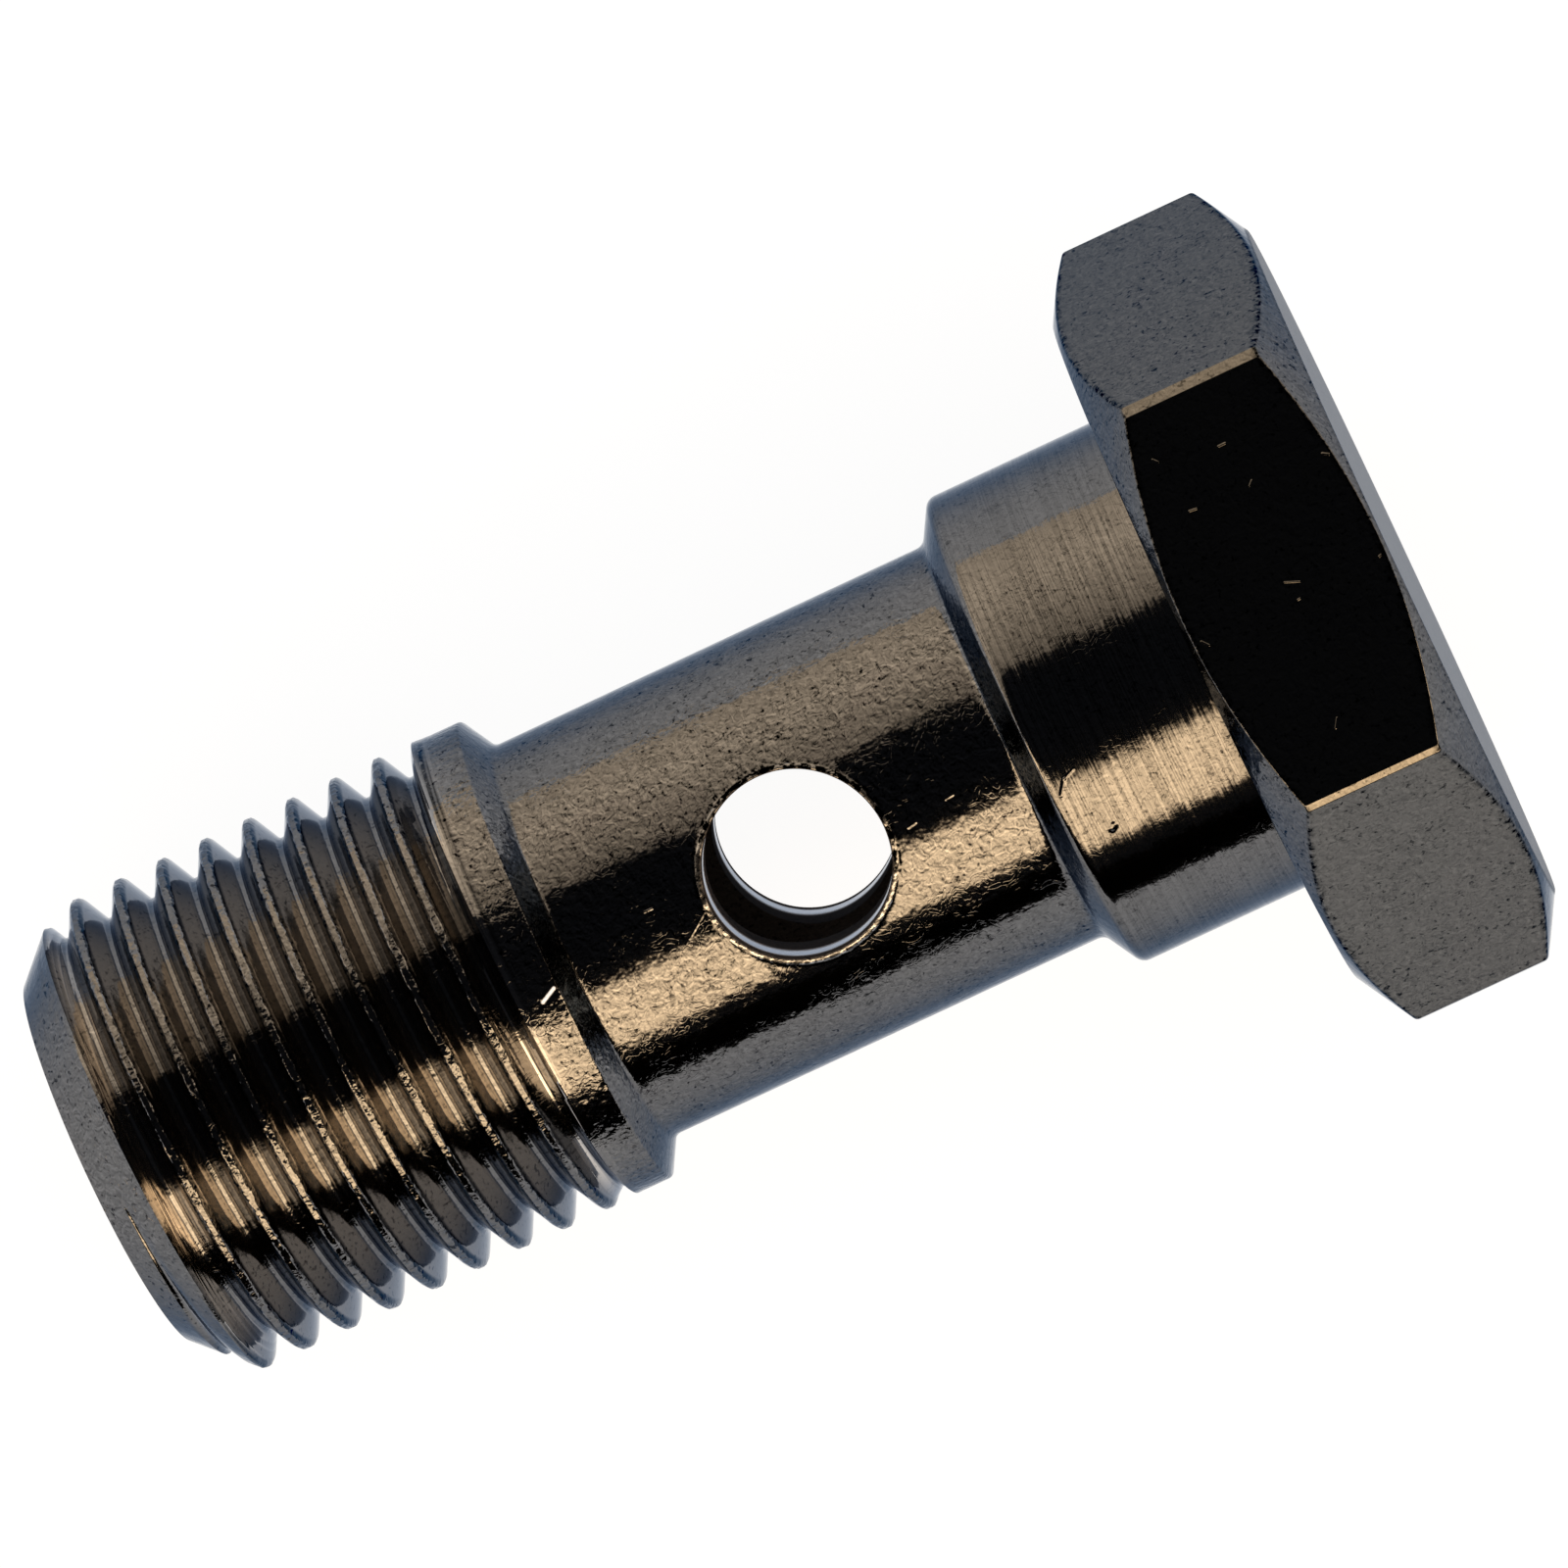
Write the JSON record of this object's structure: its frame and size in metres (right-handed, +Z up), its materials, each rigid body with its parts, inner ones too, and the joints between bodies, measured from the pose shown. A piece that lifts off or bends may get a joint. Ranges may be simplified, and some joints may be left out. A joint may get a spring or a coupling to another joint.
{
  "type": "banjo bolt",
  "caption": "Hollow hexagon-headed bolt with a collar, a waisted neck drilled across and a short external pipe thread, for clamping a banjo fitting.",
  "frame": {"origin": "on the surface that the bolt lies on, under the middle of its box", "axes": "+X from the threaded end towards the head, 5.73 degrees below the bolt's own axis, which rises towards the head; +Z up from the surface; +Y across the bolt"},
  "size_m": [0.028, 0.016, 0.0143],
  "materials": {
    "plated_steel": "dark bright nickel plating over turned steel, mirror-like with fine turning marks"
  },
  "bodies": {
    "root": {"banjo_bolt": "plated_steel"}
  },
  "joints": []
}
